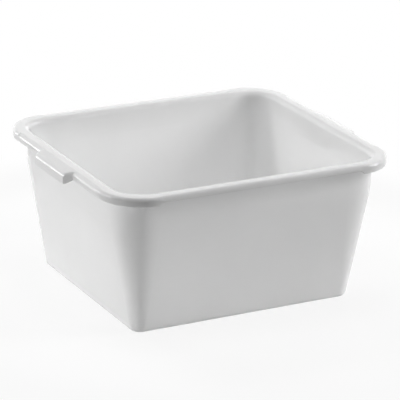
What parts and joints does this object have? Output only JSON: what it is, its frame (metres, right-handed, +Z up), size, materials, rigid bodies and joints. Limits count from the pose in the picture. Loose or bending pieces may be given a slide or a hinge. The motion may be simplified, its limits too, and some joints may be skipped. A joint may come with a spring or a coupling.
{
  "type": "washing up bowl",
  "caption": "Deep rectangular washing up bowl with drafted walls, a flat rolled rim that deepens into skirts at the corners, and a hollow hand grip on each short side.",
  "frame": {"origin": "under the middle of the bowl, on the plane that it stands on", "axes": "+X along the bowl from grip to grip, +Y across it, +Z up"},
  "size_m": [0.3986, 0.3326, 0.1825],
  "materials": {
    "bowl_plastic": "satin white polypropylene"
  },
  "bodies": {
    "root": {"basin": "bowl_plastic", "rim": "bowl_plastic", "grip_left": "bowl_plastic", "grip_right": "bowl_plastic"}
  },
  "joints": []
}
